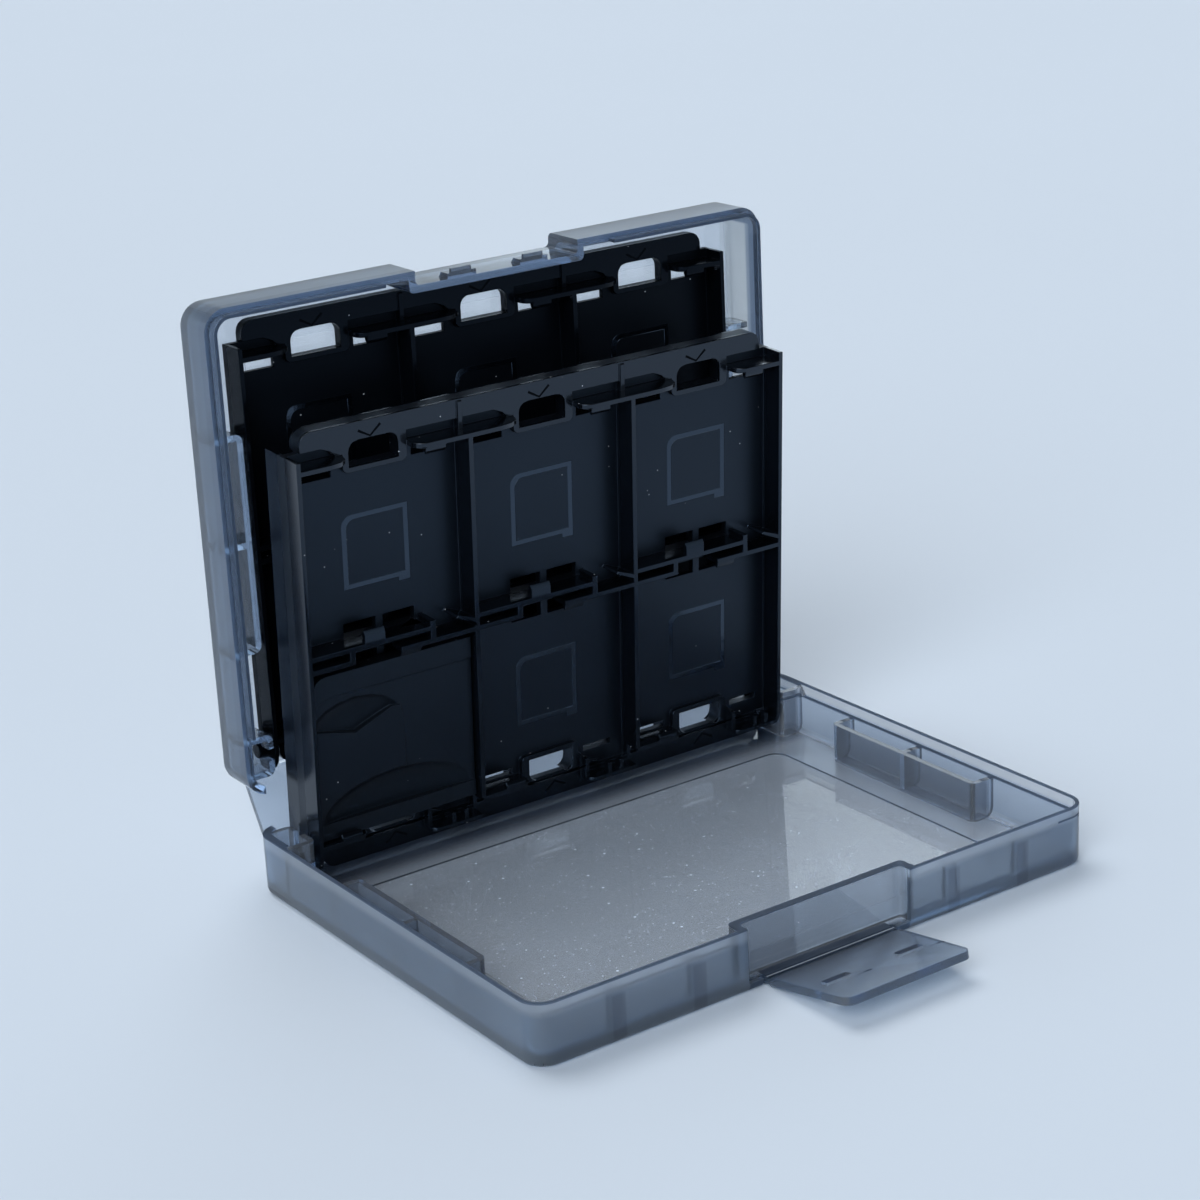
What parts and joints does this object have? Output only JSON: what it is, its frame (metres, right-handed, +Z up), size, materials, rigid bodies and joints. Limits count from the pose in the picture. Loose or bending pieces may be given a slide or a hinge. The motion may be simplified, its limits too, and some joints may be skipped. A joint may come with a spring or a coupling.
{
  "type": "game card storage case",
  "caption": "Hinged translucent card case standing open, with a black card tray in its lid, a double-sided card page swung up out of its base and a lowered latch flap",
  "frame": {"origin": "centre of the base's underside, on the table", "axes": "+X along the front edge to the right, +Y back to the hinge side, +Z up"},
  "size_m": [0.126, 0.1263, 0.1124],
  "materials": {
    "smoke_shell": "translucent smoke grey, satin outside and polished panels",
    "black_tray": "blue-black moulded plastic with satin plates and glossier walls",
    "black_adapter": "fine matte black moulding"
  },
  "bodies": {
    "base": {"base_shell": "smoke_shell"},
    "spine_strip": {"spine": "smoke_shell"},
    "lid": {"lid_shell": "smoke_shell", "lid_tray": "black_tray"},
    "page": {"page_tray": "black_tray", "card_adapter": "black_adapter"},
    "flap": {"latch_flap": "smoke_shell"}
  },
  "joints": [
    {"name": "lid_hinge", "type": "hinge", "parent": "spine_strip", "child": "lid", "pos_m": [0, 0.05742, 0.01877], "axis": [1, 0, 0], "range_deg": [-20, 59]},
    {"name": "spine_hinge", "type": "hinge", "parent": "base", "child": "spine_strip", "pos_m": [0, 0.0465, 0.0006], "axis": [1, 0, 0], "range_deg": [-10.52, 31.01]},
    {"name": "page_pivot", "type": "hinge", "parent": "base", "child": "page", "pos_m": [0, 0.0413, 0.0078], "axis": [1, 0, 0], "range_deg": [-29.54, 87.11]},
    {"name": "flap_hinge", "type": "hinge", "parent": "base", "child": "flap", "pos_m": [0, -0.04635, 0.00075], "axis": [-1, 0, 0], "range_deg": [-10, 79.5]}
  ],
  "couplings": [
    {"joint": "spine_hinge", "follows": "lid_hinge", "ratio": 0.52542},
    {"joint": "page_pivot", "follows": "lid_hinge", "ratio": 1.4763}
  ]
}
